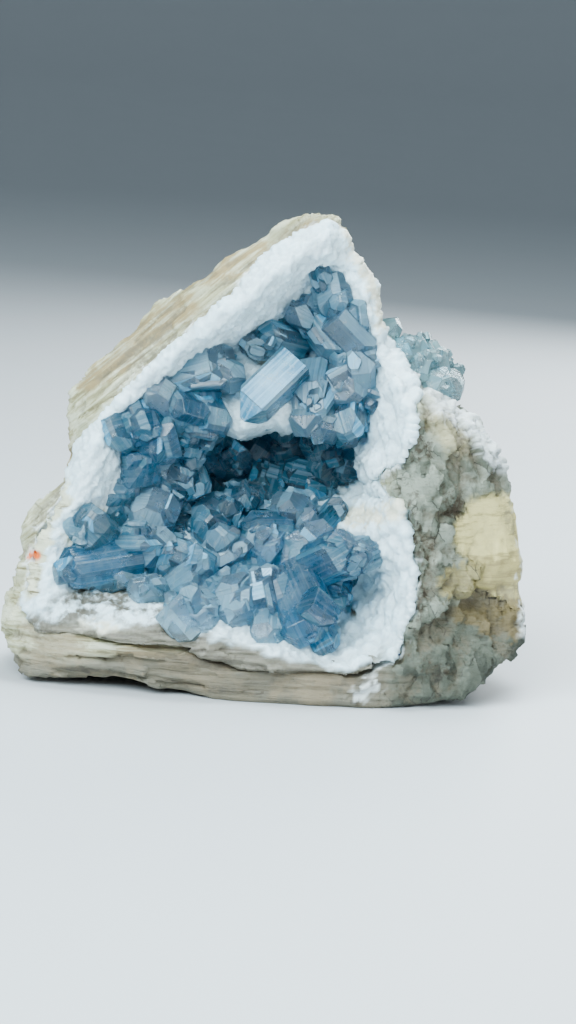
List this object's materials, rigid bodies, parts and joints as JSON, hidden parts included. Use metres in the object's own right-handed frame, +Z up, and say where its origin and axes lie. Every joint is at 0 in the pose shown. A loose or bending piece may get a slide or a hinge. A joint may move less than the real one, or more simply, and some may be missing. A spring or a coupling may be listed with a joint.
{
  "type": "celestite geode",
  "caption": "Hand-sized broken geode piece: fibrous calcite matrix, white druse lining its hollow and a crust of blue tabular crystals.",
  "frame": {"origin": "in the middle of the small flat spot that the piece stands on", "axes": "+Z up, -Y out of the open hollow towards the viewer, +X to the right as one looks into the hollow"},
  "size_m": [0.0899, 0.0485, 0.0812],
  "materials": {
    "calcite_matrix": "rough fibrous cream calcite with honey and brown stains",
    "white_druse": "sugary white, slightly translucent",
    "blue_celestite": "vitreous translucent blue, striated faces",
    "pale_celestite": "vitreous pale aqua, milky"
  },
  "bodies": {
    "root": {"matrix": "calcite_matrix", "white_druse": "white_druse", "celestite_crust": "blue_celestite", "celestite_side_cluster": "pale_celestite"}
  },
  "joints": []
}
